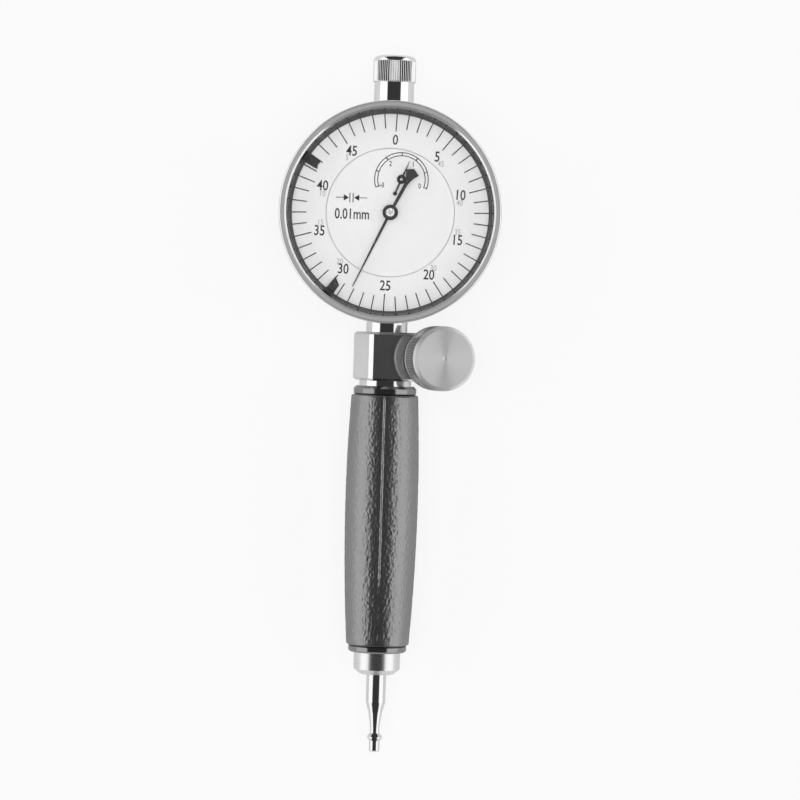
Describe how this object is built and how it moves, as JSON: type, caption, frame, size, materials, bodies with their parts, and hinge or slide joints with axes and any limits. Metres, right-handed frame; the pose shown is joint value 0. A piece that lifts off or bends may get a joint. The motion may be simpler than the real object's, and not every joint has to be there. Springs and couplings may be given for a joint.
{
  "type": "dial bore gauge",
  "caption": "Small-bore gauge: a round dial indicator in a split clamp with a knurled knob, on a black grained grip with a slim split-ball probe.",
  "frame": {"origin": "on the resting plane, midway along the gauge and across its dial", "axes": "+Y up the stem from the probe to the lift cap, +Z out of the dial, +X to the dial's right"},
  "size_m": [0.043, 0.1364, 0.02],
  "materials": {
    "bezel_satin": "satin, with a fine coin edge",
    "case_satin": "satin",
    "bright_chrome": "polished chrome plate",
    "clamp_chrome": "satin chrome plate on milled faces",
    "knob_steel": "turned rings on the face, knurled edge",
    "ferrule_chrome": "satin chrome plate",
    "grip_black": "black, moulded leather grain",
    "collar_black": "gloss black",
    "ring_black": "black paint",
    "dial_white": "matt white paint with printed scales",
    "hand_black": "black paint",
    "crystal": "clear",
    "movement_brass": "plain brass",
    "inner_steel": "ground steel",
    "bush_steel": "turned, polished end",
    "probe_steel": "hard chrome plate"
  },
  "bodies": {
    "root": {"case": "case_satin", "back_cover": "case_satin", "back_cover_screws": "inner_steel", "bezel_spring": "inner_steel", "centre_dial": "dial_white", "front_plate": "movement_brass", "mid_plate": "movement_brass", "plate_pillars": "movement_brass", "plate_screws": "inner_steel", "rear_bridge": "movement_brass", "bridge_posts": "movement_brass", "hairspring_stud": "movement_brass", "hairspring": "inner_steel", "spring_post": "movement_brass", "stem_bush": "movement_brass", "upper_bush": "movement_brass", "return_spring": "inner_steel", "stem": "bright_chrome", "clamp_block": "clamp_chrome", "handle_tube": "inner_steel", "upper_collar": "collar_black", "grip": "grip_black", "lower_collar": "collar_black", "ferrule": "ferrule_chrome", "upper_rod_guide": "movement_brass", "lower_rod_guide": "movement_brass", "probe": "probe_steel"},
    "bezel": {"bezel": "bezel_satin", "crystal": "crystal", "marker_ring": "ring_black", "dial_ring": "dial_white"},
    "upper_marker": {"upper_marker": "ring_black"},
    "lower_marker": {"lower_marker": "ring_black"},
    "hand": {"centre_arbor": "inner_steel", "main_hand": "hand_black", "hand_bush": "bush_steel"},
    "spindle": {"spindle": "inner_steel", "lift_cap": "bright_chrome", "contact_point": "inner_steel", "guide_pin": "inner_steel", "spring_pin": "inner_steel"},
    "push_rod": {"push_rod": "inner_steel", "needle": "inner_steel"},
    "rack_arbor": {"rack_arbor": "inner_steel", "drive_gear": "movement_brass"},
    "take_up": {"take_up_arbor": "inner_steel", "take_up_gear": "movement_brass", "counter_hand": "hand_black", "counter_hand_bush": "bush_steel"},
    "clamp_screw": {"clamp_screw": "inner_steel"},
    "clamp_knob": {"clamp_knob": "knob_steel"}
  },
  "joints": [
    {"name": "bezel_turn", "type": "hinge", "parent": "root", "child": "bezel", "pos_m": [0, 0.0374, 0.0085], "axis": [0, 0, 1], "continuous": true},
    {"name": "upper_marker_turn", "type": "hinge", "parent": "bezel", "child": "upper_marker", "pos_m": [0, 0.0374, 0.0085], "axis": [0, 0, 1], "range_deg": [-126, 35]},
    {"name": "lower_marker_turn", "type": "hinge", "parent": "bezel", "child": "lower_marker", "pos_m": [0, 0.0374, 0.0085], "axis": [0, 0, 1], "range_deg": [-35, 126]},
    {"name": "spindle_slide", "type": "slide", "parent": "root", "child": "spindle", "axis": [0, 1, 0], "range_m": [0, 0.001], "stiffness_N_per_m": 100, "springref_m": -0.01, "deforming": ["return_spring", "hairspring"]},
    {"name": "push_rod_slide", "type": "slide", "parent": "root", "child": "push_rod", "axis": [0, 1, 0], "range_m": [0, 0.001]},
    {"name": "hand_turn", "type": "hinge", "parent": "root", "child": "hand", "pos_m": [0, 0.0374, 0.0085], "axis": [0, 0, 1], "range_deg": [-720.1, 0]},
    {"name": "rack_arbor_turn", "type": "hinge", "parent": "root", "child": "rack_arbor", "pos_m": [-0.00197, 0.03091, 0.0085], "axis": [0, 0, 1], "range_deg": [0, 72.1]},
    {"name": "take_up_turn", "type": "hinge", "parent": "root", "child": "take_up", "pos_m": [0.00197, 0.04389, 0.0085], "axis": [0, 0, 1], "range_deg": [0, 72.1]},
    {"name": "clamp_screw_slide", "type": "slide", "parent": "root", "child": "clamp_screw", "axis": [0.309, 0, 0.9511], "range_m": [0, 0.0005]},
    {"name": "clamp_knob_turn", "type": "hinge", "parent": "clamp_screw", "child": "clamp_knob", "pos_m": [0.00789, 0.0094, 0.00594], "axis": [0.309, 0, 0.9511], "range_deg": [0, 360.1]}
  ],
  "couplings": [
    {"joint": "push_rod_slide", "follows": "spindle_slide", "ratio": 1},
    {"joint": "hand_turn", "follows": "spindle_slide", "rad_per_m": -12566},
    {"joint": "rack_arbor_turn", "follows": "spindle_slide", "rad_per_m": 1256.6},
    {"joint": "take_up_turn", "follows": "spindle_slide", "rad_per_m": 1256.6},
    {"joint": "clamp_knob_turn", "follows": "clamp_screw_slide", "rad_per_m": 12566}
  ]
}
